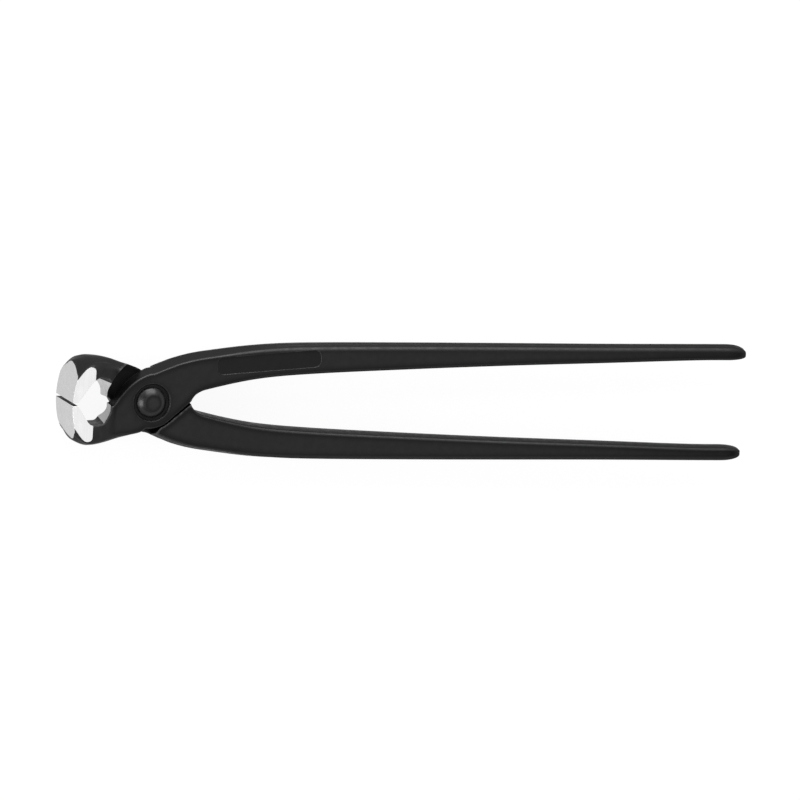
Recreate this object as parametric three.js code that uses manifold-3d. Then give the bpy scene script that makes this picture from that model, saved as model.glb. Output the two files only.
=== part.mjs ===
// Carpenter's end-cutting pincers with long slim handles.
// Two forged levers of one form cross at a lap joint and turn on one rivet.
// Millimetres. X runs along the handles with the jaws at -X, Y across them, +Z up along the rivet.

import * as THREE from 'three';
import Module from 'manifold-3d';
import { mergeVertices } from 'three/addons/utils/BufferGeometryUtils.js';

const wasm = await Module();
wasm.setup();

// Driving dimensions of the whole tool
const overallLength = 280;
const jawReach = 34; // rivet to the ground front of the jaws
const headWidth = 22.5; // length of the cutting edges, across the ground cheeks
const jawHalfHeight = 17.75; // centre line to the back of one jaw
const gripHalfSpread = 23.2; // centre line to the outside of one handle
const plateRadius = 10.8; // round side of each lap plate
const plateThickness = 6.5; // one plate, so half of the joint
const lapGap = 0.3; // between the two plates
const edgeGap = 1.2; // between the cutting edges as the tool lies
const closedEdgeGap = 0.2; // left between the edges at the end of the closing travel
const seamClearance = 0.35; // between a plate's round side and the shoulder that it turns in

// Handle
const handleRootDepth = 15.2; // across Y, where the handle leaves the joint
const handleTipDepth = 6.1;
const handleTipThickness = 9.6; // across Z
const outerEdgeRound = 2.3;
const innerEdgeRound = 1.5;
const tipRound = 2.6;
const plateEdgeRound = 0.9;
const forgingDraft = 0.35; // rise of the sides at the parting line
const rootCrown = 1.4; // of the parting line over the sides at the root of a handle
const jawCrown = 1.5; // the same at the back of a jaw
const outerRunout = 65; // rivet to where the outer edge of a handle has its full rounding
const innerRunout = 49; // the same for the inner edge
const crotchReach = 16.2; // rivet to the fork between the handles

// Jaw
const flareReach = 14; // rivet to where the jaws begin to widen
const flareLength = 15.5; // along X, to the full width
const jawForgedHalfWidth = 12.35; // before the cheeks are ground
const jawBackRound = 3;
const jawRoundReach = 21.8; // rivet to where that rounding is full
const jawNoseRound = 8.5; // of the same edges, where they run out at the front
const jawNoseCrown = 2.6; // of the back of a jaw there
const shoulderRadius = 18.8; // pocket in a jaw that the other lever's plate turns in
const shoulderSlope = 2; // narrowing of that pocket from the plate's face to the lap plane
const wedgeAngle = THREE.MathUtils.degToRad(68); // end of the handle's round shoulder, from +X
const reliefAngle = THREE.MathUtils.degToRad(82); // where the sloping end of that shoulder runs out
const wedgeRadius = 13; // of that end
const frontRadius = 38; // of the ground front
const landDepth = 2.2; // flat of a cutting edge
const hollowReach = 16.6; // rivet to the throat of the hollow, at mid thickness
const hollowHalfHeight = 9.45; // at mid thickness
const hollowDraft = 0.97; // growth of the hollow from mid thickness to the lower cheek, and its loss above
const throatHalfHeight = 4.6; // of the upright part of the throat
const throatSlope = 2.7; // along X, from the upright part of the throat to its crease with the floor
const creaseRise = 0.65; // of that crease over the floor
const creaseRoundShare = 0.2; // of the flats beside a crease, taken by its rounding
const throatRoundShare = 0.45; // the same beside a corner of the throat
const bevelDepth = 4.4; // of the inner bevel behind a cutting edge, along X
const bevelHeight = 6.4;
const hollowFlatShare = 0.3; // of the way from the bevel's end to the crease

// Rivet
const shankRadius = 4;
const boreClearance = 0.3;
const recessRadius = 7.2;
const recessDepth = 1.1;
const recessLip = 0.4; // chamfer round the mouth of the recess
const rivetHeadRadius = 6.2;
const rivetHeadHeight = 2.5;
const rivetRimHeight = 0.3;
const rivetFlatRadius = 3.5;
const rivetSeatGap = 0.3;
const domeShares = [0.4, 0.75]; // corner of the dome's curve: inwards from the rim, and up

const overrun = 10; // of every cutting body past what it cuts
const roundSteps = 4; // faces round one long edge of a lever
const crownSteps = 3; // faces over half of a jaw's back
const jawStations = 22;
const jointStations = 26;
const handleStations = 22;
const stationCrowding = 1.9; // exponent that draws the handle's sections towards the fork
const hollowSteps = 6;
const shoulderSteps = 24;
const rivetFacets = 48;
const domeSteps = 5;

const handleReach = overallLength - jawReach;
const headHalfWidth = headWidth / 2;

// Places along a handle as shares of its reach, each with the outer edge as a share of the spread,
// the depth as a share of the way from tip to root, and the same for the thickness
const handleShares = [
  { reach: 0.067, edge: 0.802, depth: 1.08, thickness: 1 },
  { reach: 0.089, edge: 0.843, depth: 0.965, thickness: 0.95 },
  { reach: 0.173, edge: 0.95, depth: 0.775, thickness: 0.72 },
  { reach: 0.256, edge: 0.987, depth: 0.655, thickness: 0.5 },
  { reach: 0.423, edge: 1.0, depth: 0.467, thickness: 0.25 },
  { reach: 0.593, edge: 1.0, depth: 0.286, thickness: 0.12 },
  { reach: 0.76, edge: 0.996, depth: 0.137, thickness: 0.05 },
  { reach: 0.927, edge: 1.0, depth: 0.005, thickness: 0 },
  { reach: 1.0, edge: 1.0, depth: 0, thickness: 0 },
];

// Edge of a lap plate from the handle over to the throat, in shares of the plate's radius
const plateEdgeShares = [
  [-3.437, 0.322],
  [-1.826, 0.322],
  [-1.525, -0.097],
  [-1.25, 0.232],
  [-0.889, 0.639],
  [-0.527, 0.954],
  [-0.158, 1.171],
  [0.032, 1.214],
  [0.215, 1.284],
  [0.435, 1.378],
  [0.657, 1.461],
  [0.88, 1.549],
  [1.111, 1.619],
  [1.353, 1.682],
];

// Back of a jaw from the plate to the front, in shares of the jaw's reach and half height
const jawBackShares = [
  [-0.05, -0.601],
  [-0.112, -0.69],
  [-0.184, -0.747],
  [-0.257, -0.797],
  [-0.329, -0.837],
  [-0.403, -0.885],
  [-0.476, -0.931],
  [-0.549, -0.966],
  [-0.622, -0.99],
  [-0.7, -1],
  [-0.769, -0.994],
  [-0.841, -0.947],
  [-0.913, -0.872],
  [-1, -0.74],
  [-1.06, -0.61],
];

// End of a plate's round side, in shares of its radius
const flankShares = [0.669, -0.743];

// Inner edge of a handle at the fork, in shares of the fork's reach
const forkShares = [
  [1, 0],
  [1.035, 0.075],
  [1.13, 0.185],
];

// Smooth curve through points in rising x, given back as a function of x
function smoothThrough(points) {
  const slopes = points.map((point, i) => {
    const before = points[Math.max(i - 1, 0)];
    const after = points[Math.min(i + 1, points.length - 1)];
    return (after[1] - before[1]) / (after[0] - before[0]);
  });
  return (x) => {
    let i = 0;
    while (i < points.length - 2 && x > points[i + 1][0]) i += 1;
    const [x0, y0] = points[i];
    const [x1, y1] = points[i + 1];
    const span = x1 - x0;
    const t = THREE.MathUtils.clamp((x - x0) / span, 0, 1);
    const rise = (2 * t - 3) * t * t + 1;
    const turn = ((t - 2) * t + 1) * t * span;
    const arrive = (t - 1) * t * t * span;
    return rise * y0 + (1 - rise) * y1 + turn * slopes[i] + arrive * slopes[i + 1];
  };
}

function mix(from, to, share) {
  return from + (to - from) * share;
}

const handlePoints = handleShares.map((place) => {
  const outer = place.edge * gripHalfSpread;
  const depth = mix(handleTipDepth, handleRootDepth, place.depth);
  return { x: place.reach * handleReach, outer, inner: outer - depth };
});

const upperEdge = smoothThrough([
  ...plateEdgeShares.map(([x, y]) => [x * plateRadius, y * plateRadius]),
  ...handlePoints.map((point) => [point.x, point.outer]),
]);

const lowerHandleEdge = smoothThrough([
  ...forkShares.map(([x, y]) => [x * crotchReach, y * crotchReach]),
  ...handlePoints.slice(1).map((point) => [point.x, point.inner]),
]);

const jawBack = smoothThrough(
  jawBackShares.map(([x, y]) => [x * jawReach, y * jawHalfHeight]).reverse(),
);

// The round side of a plate ends where a straight flank to the fork leaves it
const flankAngle = Math.atan2(flankShares[1], flankShares[0]);
const flankStart = [plateRadius * Math.cos(flankAngle), plateRadius * Math.sin(flankAngle)];
const roundEnd = jawBackShares[0][0] * jawReach;

function lowerEdge(x) {
  if (x > crotchReach) return lowerHandleEdge(x);
  if (x > flankStart[0]) {
    return mix(flankStart[1], 0, (x - flankStart[0]) / (crotchReach - flankStart[0]));
  }
  if (x > roundEnd) return -Math.sqrt(plateRadius ** 2 - x ** 2);
  return jawBack(x);
}

// Half thickness of the forging across Z
const handleHalf = smoothThrough(
  handleShares.map((place) => [
    place.reach * handleReach,
    mix(handleTipThickness / 2, plateThickness, place.thickness),
  ]),
);

function halfThickness(x) {
  if (x > -flareReach) return handleHalf(x);
  const share = THREE.MathUtils.smoothstep(-x, flareReach, flareReach + flareLength);
  return mix(plateThickness, jawForgedHalfWidth, share);
}

// Rounding of the long edges: small on the lap plate, larger on the handle and the back of the jaw
function upperRound(x) {
  const share = THREE.MathUtils.smoothstep(x, crotchReach, outerRunout);
  return mix(plateEdgeRound, outerEdgeRound, share);
}

// Share of the nose's own form in a jaw, from none behind the cutting bevel to all at the front
function noseShare(x) {
  return THREE.MathUtils.smoothstep(-x, jawReach - bevelDepth - landDepth, jawReach);
}

function lowerRound(x) {
  if (x > 0) {
    const share = THREE.MathUtils.smoothstep(x, crotchReach, innerRunout);
    return mix(plateEdgeRound, innerEdgeRound, share);
  }
  const back = THREE.MathUtils.smoothstep(-x, -roundEnd, jawRoundReach);
  return mix(mix(plateEdgeRound, jawBackRound, back), jawNoseRound, noseShare(x));
}

// Fall of the outer edge of a handle from the parting line to its sides
function upperFall(x) {
  const rise = THREE.MathUtils.smoothstep(x, -plateRadius, -roundEnd);
  const fade = THREE.MathUtils.smoothstep(x, crotchReach, outerRunout);
  return mix(forgingDraft, rootCrown, rise * (1 - fade));
}

// The same for the back of a jaw
function lowerFall(x) {
  const rise = THREE.MathUtils.smoothstep(-x, -roundEnd, flareReach);
  return mix(mix(forgingDraft, jawCrown, rise), jawNoseCrown, noseShare(x));
}

// One cross-section of the forging at x, run round from the parting line towards +Z.
// inset draws every side in, for the rounded tip of the handle.
function section(x, inset) {
  const top = upperEdge(x) - outerEdgeRound * inset;
  const bottom = lowerEdge(x) + innerEdgeRound * inset;
  const half = halfThickness(x) - innerEdgeRound * inset;
  const over = upperRound(x);
  const under = lowerRound(x);
  const side = [[top, 0]];
  for (let i = 0; i <= roundSteps; i += 1) {
    const turn = (i / roundSteps) * (Math.PI / 2);
    const y = top - upperFall(x) - over * (1 - Math.cos(turn));
    side.push([y, half - over * (1 - Math.sin(turn))]);
  }
  for (let i = 0; i <= roundSteps; i += 1) {
    const turn = (i / roundSteps) * (Math.PI / 2);
    const y = bottom + lowerFall(x) + under * (1 - Math.sin(turn));
    side.push([y, half - under * (1 - Math.cos(turn))]);
  }
  for (let i = crownSteps - 1; i > 0; i -= 1) {
    const share = i / crownSteps;
    side.push([bottom + lowerFall(x) * share ** 2, (half - under) * share]);
  }
  side.push([bottom, 0]);
  const back = side.slice(1, -1).reverse();
  return [
    ...side.map(([y, z]) => new THREE.Vector3(x, y, z)),
    ...back.map(([y, z]) => new THREE.Vector3(x, y, -z)),
  ];
}

// Closed skin over rings of equal point count, each ring running counter-clockwise about the
// direction in which the rings follow one another
function loft(rings) {
  const count = rings[0].length;
  const points = rings.flat();
  const index = [];
  for (let r = 0; r < rings.length - 1; r += 1) {
    for (let i = 0; i < count; i += 1) {
      const here = r * count + i;
      const next = r * count + ((i + 1) % count);
      index.push(here, next, here + count);
      index.push(next, next + count, here + count);
    }
  }
  const last = (rings.length - 1) * count;
  for (const [ring, first] of [[rings[0], 0], [rings.at(-1), last]]) {
    const middle = new THREE.Vector3();
    for (const point of ring) middle.addScaledVector(point, 1 / count);
    const centre = points.push(middle) - 1;
    for (let i = 0; i < count; i += 1) {
      const here = first + i;
      const next = first + ((i + 1) % count);
      index.push(centre, first ? here : next, first ? next : here);
    }
  }
  const geometry = new THREE.BufferGeometry();
  geometry.setFromPoints(points);
  geometry.setIndex(index);
  return geometry;
}

function solidOf(geometry) {
  const bare = geometry.clone();
  bare.deleteAttribute('normal');
  bare.deleteAttribute('uv');
  const merged = mergeVertices(bare);
  return new wasm.Manifold(
    new wasm.Mesh({
      numProp: 3,
      vertProperties: new Float32Array(merged.attributes.position.array),
      triVerts: new Uint32Array(merged.index.array),
    }),
  );
}

function geometryOf(solid) {
  const mesh = solid.getMesh();
  const geometry = new THREE.BufferGeometry();
  geometry.setAttribute('position', new THREE.BufferAttribute(mesh.vertProperties, 3));
  geometry.setIndex(new THREE.BufferAttribute(mesh.triVerts, 1));
  geometry.computeVertexNormals();
  return geometry;
}

// Flat outline in the XY plane pulled from one height to another
function slab(shape, low, high, curveSegments) {
  const geometry = new THREE.ExtrudeGeometry(shape, {
    depth: high - low,
    bevelEnabled: false,
    curveSegments,
  });
  return solidOf(geometry.translate(0, 0, low));
}

// Places along X at which the forging's cross-section is taken, closest where it changes fastest
function stations() {
  const places = [];
  const noseEnd = -jawReach * Math.abs(jawBackShares.at(-1)[0]);
  for (let i = 0; i <= jawStations; i += 1) {
    places.push(mix(noseEnd, -flareReach, i / jawStations));
  }
  for (let i = 1; i <= jointStations; i += 1) {
    places.push(mix(-flareReach, crotchReach, i / jointStations));
  }
  for (let i = 1; i <= handleStations; i += 1) {
    const share = (i / handleStations) ** stationCrowding;
    places.push(mix(crotchReach, handleReach - tipRound, share));
  }
  return places;
}

function forging() {
  const rings = stations().map((x) => section(x, 0));
  for (let i = 1; i <= roundSteps; i += 1) {
    const turn = (i / roundSteps) * (Math.PI / 2);
    const x = handleReach - tipRound * (1 - Math.sin(turn));
    rings.push(section(x, 1 - Math.cos(turn)));
  }
  return solidOf(loft(rings));
}

// Rounds a corner of an outline between two flats, over a share of each
function softCorner(shape, before, corner, after, share) {
  const start = corner.clone().lerp(before, share);
  const end = corner.clone().lerp(after, share);
  shape.lineTo(start.x, start.y);
  shape.quadraticCurveTo(corner.x, corner.y, end.x, end.y);
}

// Outline of the hollow in the jaws, with the cutting bevels, grown at the throat and the sides
function hollowOutline(grow) {
  const height = hollowHalfHeight + grow;
  const reach = hollowReach - grow;
  const edgeX = landDepth - jawReach;
  const edgeY = edgeGap / 2;
  const bevelX = edgeX + bevelDepth;
  const bevelY = edgeY + bevelHeight;
  const meetX = edgeX + (bevelDepth * (height - edgeY)) / bevelHeight;
  const creaseX = -reach - throatSlope;
  const flatX = mix(meetX, creaseX, hollowFlatShare);
  const lower = [
    new THREE.Vector2(flatX, -height),
    new THREE.Vector2(creaseX, creaseRise - height),
    new THREE.Vector2(-reach, -throatHalfHeight - grow),
    new THREE.Vector2(-reach, 0),
  ];
  const upper = lower.map((point) => new THREE.Vector2(point.x, -point.y));
  const shape = new THREE.Shape();
  shape.moveTo(edgeX, -edgeY);
  shape.lineTo(bevelX, -bevelY);
  shape.quadraticCurveTo(meetX, -height, flatX, -height);
  softCorner(shape, lower[0], lower[1], lower[2], creaseRoundShare);
  softCorner(shape, lower[1], lower[2], lower[3], throatRoundShare);
  softCorner(shape, upper[3], upper[2], upper[1], throatRoundShare);
  softCorner(shape, upper[2], upper[1], upper[0], creaseRoundShare);
  shape.lineTo(flatX, height);
  shape.quadraticCurveTo(meetX, height, bevelX, bevelY);
  shape.lineTo(edgeX, edgeY);
  return shape.getPoints(hollowSteps);
}

function hollow() {
  const reach = headHalfWidth + overrun;
  const rings = [-reach, reach].map((z) => {
    const grow = (-hollowDraft * z) / headHalfWidth;
    return hollowOutline(grow).map((point) => new THREE.Vector3(point.x, point.y, z));
  });
  return solidOf(loft(rings));
}

// Space that the other lever's plate fills and turns in, below the lap plane
function jointPocket() {
  const closing = (edgeGap - closedEdgeGap) / jawReach;
  const shoulder = plateRadius + seamClearance;
  const start = closing - flankAngle;
  const flankTop = new THREE.Vector2(shoulder * Math.cos(start), shoulder * Math.sin(start));
  const fork = new THREE.Vector2(crotchReach + seamClearance, 0);
  fork.rotateAround(new THREE.Vector2(), closing);
  const beyond = fork.clone().sub(flankTop).setLength(overrun).add(fork);
  const deepest = -jawForgedHalfWidth - overrun;
  const rings = [deepest, lapGap / 2].map((z) => {
    const radius = shoulderRadius - (shoulderSlope * (plateThickness + z)) / plateThickness;
    const shape = new THREE.Shape();
    shape.moveTo(beyond.x, beyond.y);
    shape.lineTo(fork.x, fork.y);
    shape.absarc(0, 0, shoulder, start, wedgeAngle);
    shape.lineTo(wedgeRadius * Math.cos(reliefAngle), wedgeRadius * Math.sin(reliefAngle));
    shape.absarc(0, 0, radius, reliefAngle, (3 * Math.PI) / 2);
    shape.lineTo(beyond.x, -radius);
    return shape.getPoints(shoulderSteps).map((point) => new THREE.Vector3(point.x, point.y, z));
  });
  return solidOf(loft(rings));
}

// Everything above the cutting edge of the lower jaw
function bladeClearance() {
  const shape = new THREE.Shape();
  const nose = -jawReach - overrun;
  const height = jawHalfHeight + overrun;
  shape.moveTo(nose, -edgeGap / 2);
  shape.lineTo(-hollowReach, -edgeGap / 2);
  shape.lineTo(-hollowReach, height);
  shape.lineTo(nose, height);
  return slab(shape, -jawForgedHalfWidth - overrun, jawForgedHalfWidth + overrun, 1);
}

// What the grinder takes off the front of the jaws
function frontGrinding() {
  const centre = frontRadius - jawReach;
  const height = jawHalfHeight + overrun;
  const sweep = Math.asin(height / frontRadius);
  const shape = new THREE.Shape();
  shape.moveTo(-jawReach - overrun, -height);
  shape.lineTo(-jawReach - overrun, height);
  shape.absarc(centre, 0, frontRadius, Math.PI - sweep, Math.PI + sweep);
  return slab(shape, -jawForgedHalfWidth - overrun, jawForgedHalfWidth + overrun, shoulderSteps);
}

// The forging is kept only between the two ground cheeks
function cheekLimits() {
  const span = 2 * (overallLength + overrun);
  return solidOf(new THREE.BoxGeometry(span, span, headWidth));
}

// Solid of revolution about the rivet's axis from points of radius and height
function turned(profile) {
  const points = profile.map(([radius, height]) => new THREE.Vector2(radius, height));
  const geometry = new THREE.LatheGeometry(points, rivetFacets);
  return geometry.rotateX(Math.PI / 2);
}

function rivetBore() {
  const radius = shankRadius + boreClearance;
  const floor = plateThickness - recessDepth;
  const mouth = recessRadius + recessLip;
  const reach = plateThickness + overrun;
  return solidOf(turned([
    [0, -reach],
    [radius, -reach],
    [radius, floor],
    [recessRadius, floor],
    [recessRadius, plateThickness - recessLip],
    [mouth, plateThickness],
    [mouth, reach],
    [0, reach],
  ]));
}

function leverGeometry() {
  const lever = forging()
    .subtract(bladeClearance())
    .subtract(hollow())
    .subtract(jointPocket())
    .subtract(frontGrinding())
    .intersect(cheekLimits())
    .subtract(rivetBore());
  return geometryOf(lever);
}

// Half of the rivet's profile, from the middle of the shank to the flat of the head
function rivetProfile() {
  const seat = plateThickness - recessDepth + rivetSeatGap;
  const rim = seat + rivetRimHeight;
  const top = seat + rivetHeadHeight;
  const dome = new THREE.QuadraticBezierCurve(
    new THREE.Vector2(rivetHeadRadius, rim),
    new THREE.Vector2(
      mix(rivetHeadRadius, rivetFlatRadius, domeShares[0]),
      mix(rim, top, domeShares[1]),
    ),
    new THREE.Vector2(rivetFlatRadius, top),
  );
  return [
    [shankRadius, seat],
    [rivetHeadRadius, seat],
    ...dome.getPoints(domeSteps).map((point) => [point.x, point.y]),
    [0, top],
  ];
}

function rivetGeometry() {
  const upper = rivetProfile();
  const lower = upper.map(([radius, height]) => [radius, -height]).reverse();
  return mergeVertices(turned([...lower, ...upper]));
}

const blackSteel = new THREE.MeshStandardMaterial({
  color: '#2b2b2c',
  roughness: 0.45,
  metalness: 0.6,
});
const rivetSteel = new THREE.MeshStandardMaterial({
  color: '#262627',
  roughness: 0.4,
  metalness: 0.6,
});

const topLever = new THREE.Mesh(leverGeometry(), blackSteel);
topLever.name = 'top_lever';

// The second lever is the same forging turned half round about the tool's long axis
const bottomLever = new THREE.Mesh(topLever.geometry.clone(), blackSteel);
bottomLever.name = 'bottom_lever';
bottomLever.rotation.x = Math.PI;

const jointRivet = new THREE.Mesh(rivetGeometry(), rivetSteel);
jointRivet.name = 'joint_rivet';

// The tool lies flat: middle of its footprint at the origin, lowest ground cheeks on Z = 0
const pincers = new THREE.Group();
pincers.add(topLever, bottomLever, jointRivet);
pincers.position.set((jawReach - handleReach) / 2, 0, headHalfWidth);

export default pincers;
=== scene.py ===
"""Looks for a pair of carpenter's end-cutting pincers in black steel.

Two forged levers of one form cross at a lap joint and turn on a rivet. Their front, cheeks and
hollow are ground and milled to bare steel. Sizes of the tool and of its patterns are in millimetres.
Places and sizes in the studio are in metres.
"""
import logging
import math
from collections.abc import Callable, Sequence
from dataclasses import dataclass
from enum import Enum

import bmesh
import bpy
from mathutils import Matrix, Vector


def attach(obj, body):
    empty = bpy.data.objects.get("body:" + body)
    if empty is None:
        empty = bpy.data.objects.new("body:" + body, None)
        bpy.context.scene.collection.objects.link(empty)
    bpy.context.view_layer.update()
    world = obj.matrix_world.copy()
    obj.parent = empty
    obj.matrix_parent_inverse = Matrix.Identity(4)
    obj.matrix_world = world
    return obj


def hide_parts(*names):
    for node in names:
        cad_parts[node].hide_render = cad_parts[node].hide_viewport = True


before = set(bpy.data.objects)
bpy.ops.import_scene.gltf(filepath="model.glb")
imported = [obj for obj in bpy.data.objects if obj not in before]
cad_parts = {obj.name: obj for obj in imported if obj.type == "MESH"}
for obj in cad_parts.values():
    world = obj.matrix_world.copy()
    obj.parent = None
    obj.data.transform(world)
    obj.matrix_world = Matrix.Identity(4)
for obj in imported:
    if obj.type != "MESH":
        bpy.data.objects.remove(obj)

LOG = logging.getLogger("pincers")
METRES = 0.001
LARGE_FACE_WEIGHT = 70
PIVOT = Vector((-0.106, 0.0, 0.01125))

Point2 = tuple[float, float]
Point3 = tuple[float, float, float]
Curve = Callable[[float], float]


class LeverFace(Enum):
    """Material slots of a lever, by how that skin of the steel was made. The joint's and the field's
    slots are also darker as painted shade, in the pocket between the levers and in the rivet's recess.
    """

    FORGED = 0
    FRONT = 1
    CHEEK = 2
    MILLED = 3
    JOINT = 4
    FIELD = 5


class Body(Enum):
    """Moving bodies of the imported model."""

    TOP = "top"
    BOTTOM = "bottom"


def linear(code: str) -> tuple[float, float, float, float]:
    """Turns an sRGB hex colour into a linear one.

    Args:
        code: Six hex digits after a hash.

    Returns:
        Linear red, green, blue and an alpha of one.
    """
    values = [int(code[i:i + 2], 16) / 255 for i in (1, 3, 5)]
    lit = [v / 12.92 if v <= 0.04045 else ((v + 0.055) / 1.055) ** 2.4 for v in values]
    return lit[0], lit[1], lit[2], 1.0


def per_metre(size_mm: float) -> float:
    """Gives the texture scale at which a pattern repeats every size_mm.

    Args:
        size_mm: Real size of one repeat of the pattern.

    Returns:
        Repeats in a metre.
    """
    return 1.0 / (size_mm * METRES)


def mix(start: float, end: float, share: float) -> float:
    """Goes from start to end by share.

    Args:
        start: Value at share 0.
        end: Value at share 1.
        share: How far along.

    Returns:
        The value at share.
    """
    return start + (end - start) * share


def smoothstep(x: float, low: float, high: float) -> float:
    """Rises smoothly from 0 at low to 1 at high.

    Args:
        x: Place.
        low: Where the rise starts.
        high: Where it ends.

    Returns:
        A share from 0 to 1.
    """
    t = min(max((x - low) / (high - low), 0.0), 1.0)
    return t * t * (3 - 2 * t)


def smooth_through(points: Sequence[Point2]) -> Curve:
    """Makes a smooth curve through points in rising x.

    Args:
        points: Places and heights.

    Returns:
        The height as a function of the place.
    """
    last = len(points) - 1
    slopes = []
    for i in range(last + 1):
        before = points[max(i - 1, 0)]
        after = points[min(i + 1, last)]
        slopes.append((after[1] - before[1]) / (after[0] - before[0]))

    def height(x: float) -> float:
        i = 0
        while i < last - 1 and x > points[i + 1][0]:
            i += 1
        x0, y0 = points[i]
        x1, y1 = points[i + 1]
        span = x1 - x0
        t = min(max((x - x0) / span, 0.0), 1.0)
        rise = (2 * t - 3) * t * t + 1
        turn = ((t - 2) * t + 1) * t * span
        arrive = (t - 1) * t * t * span
        return rise * y0 + (1 - rise) * y1 + turn * slopes[i] + arrive * slopes[i + 1]

    return height


def arc(centre: Point2, radius: float, start: float, end: float, steps: int) -> list[Point2]:
    """Lays points on an arc.

    Args:
        centre: Centre of the arc.
        radius: Its radius.
        start: First angle in radians.
        end: Last angle in radians.
        steps: Stretches between the points.

    Returns:
        The points from start to end.
    """
    turns = [mix(start, end, i / steps) for i in range(steps + 1)]
    return [(centre[0] + radius * math.cos(t), centre[1] + radius * math.sin(t)) for t in turns]


def bend(start: Point2, corner: Point2, end: Point2, steps: int) -> list[Point2]:
    """Rounds a corner with a quadratic curve.

    Args:
        start: Where the curve leaves the first side.
        corner: Corner that it rounds.
        end: Where it meets the second side.
        steps: Stretches between the points.

    Returns:
        The points from start to end.
    """
    points = []
    for i in range(steps + 1):
        t = i / steps
        weights = ((1 - t) ** 2, 2 * t * (1 - t), t * t)
        points.append(tuple(sum(w * p[k] for w, p in zip(weights, (start, corner, end)))
                            for k in range(2)))
    return points


@dataclass(frozen=True)
class Workpiece:
    """A closed steel body in millimetres about the pivot, ready to become an object."""

    name: str
    points: list[Point3]
    faces: list[tuple[int, ...]]

    @classmethod
    def lofted(cls, name: str, rings: Sequence[Sequence[Point3]]) -> "Workpiece":
        """Skins rings of equal point count and caps both ends.

        Args:
            name: Name of the object.
            rings: Cross-sections in order.

        Returns:
            The closed body.
        """
        count = len(rings[0])
        faces = []
        for r in range(len(rings) - 1):
            for i in range(count):
                here = r * count + i
                beside = r * count + (i + 1) % count
                faces.append((here, beside, beside + count, here + count))
        last = (len(rings) - 1) * count
        faces.append(tuple(reversed(range(count))))
        faces.append(tuple(range(last, last + count)))
        return cls(name, [point for ring in rings for point in ring], faces)

    @classmethod
    def prism(cls, name: str, outline: Sequence[Point2], low: float, high: float) -> "Workpiece":
        """Pulls a flat outline from one height to another.

        Args:
            name: Name of the object.
            outline: Corners in the XY plane.
            low: Lower height.
            high: Upper height.

        Returns:
            The closed body.
        """
        return cls.lofted(name, [[(x, y, z) for x, y in outline] for z in (low, high)])

    @classmethod
    def turned(cls, name: str, profile: Sequence[Point2], facets: int) -> "Workpiece":
        """Turns a profile of radius and height about the rivet's axis.

        Args:
            name: Name of the object.
            profile: Points that start and end on the axis.
            facets: Faces round the axis.

        Returns:
            The closed body.
        """
        rims = profile[1:-1]
        points: list[Point3] = [(0.0, 0.0, profile[0][1]), (0.0, 0.0, profile[-1][1])]
        for radius, height in rims:
            points += [(x, y, height) for x, y in arc((0, 0), radius, 0, math.tau, facets)[:-1]]
        faces: list[tuple[int, ...]] = []
        for i in range(facets):
            beside = (i + 1) % facets
            faces.append((0, 2 + beside, 2 + i))
            for r in range(len(rims) - 1):
                low = 2 + r * facets
                faces.append((low + i, low + beside, low + facets + beside, low + facets + i))
            top = 2 + (len(rims) - 1) * facets
            faces.append((top + i, top + beside, 1))
        return cls(name, points, faces)

    def build(self, face: LeverFace, slots: Sequence[bpy.types.Material]) -> bpy.types.Object:
        """Makes the object, in metres, round the pivot at the origin.

        Args:
            face: Slot that all its faces take.
            slots: Materials of the slots in order.

        Returns:
            The object, linked to the scene.
        """
        mesh = bpy.data.meshes.new(self.name)
        mesh.from_pydata([Vector(point) * METRES for point in self.points], [], self.faces)
        work = bmesh.new()
        work.from_mesh(mesh)
        bmesh.ops.recalc_face_normals(work, faces=work.faces)
        work.to_mesh(mesh)
        work.free()
        for material in slots:
            mesh.materials.append(material)
        mesh.polygons.foreach_set("material_index", [face.value] * len(mesh.polygons))
        made = bpy.data.objects.new(self.name, mesh)
        bpy.context.scene.collection.objects.link(made)
        return made


def machine(blank: bpy.types.Object, cutters: Sequence[bpy.types.Object]) -> None:
    """Cuts a blank with each cutter in turn. A cut face keeps the cutter's material slot.

    Args:
        blank: Object that is cut.
        cutters: Closed bodies of what is taken away. They are used up.
    """
    for cutter in cutters:
        cut = blank.modifiers.new(cutter.name, "BOOLEAN")
        cut.operation = "DIFFERENCE"
        cut.solver = "EXACT"
        cut.material_mode = "INDEX"
        cut.object = cutter
    graph = bpy.context.evaluated_depsgraph_get()
    cut_mesh = bpy.data.meshes.new_from_object(blank.evaluated_get(graph))
    blank.modifiers.clear()
    old = blank.data
    blank.data = cut_mesh
    bpy.data.meshes.remove(old)
    for cutter in cutters:
        mesh = cutter.data
        bpy.data.objects.remove(cutter)
        bpy.data.meshes.remove(mesh)


def trim_slivers(mesh: bpy.types.Mesh) -> None:
    """Drops corners at which two neighbouring faces would be split into the same thin triangle.

    Args:
        mesh: Closed mesh of a finished piece.
    """
    while True:
        mesh.calc_loop_triangles()
        seen: set[frozenset[int]] = set()
        doubled: set[int] = set()
        for triangle in mesh.loop_triangles:
            corners = frozenset(triangle.vertices)
            if corners in seen:
                doubled |= corners
            seen.add(corners)
        work = bmesh.new()
        work.from_mesh(mesh)
        work.verts.ensure_lookup_table()
        spare: list[bmesh.types.BMVert] = []
        for i in sorted(doubled):
            vert = work.verts[i]
            beside = [edge.other_vert(vert) for edge in vert.link_edges]
            if len(beside) == 2 and not any(other in spare for other in beside):
                spare.append(vert)
        if spare:
            bmesh.ops.dissolve_verts(work, verts=spare)
            work.to_mesh(mesh)
        work.free()
        if not spare:
            return


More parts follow.
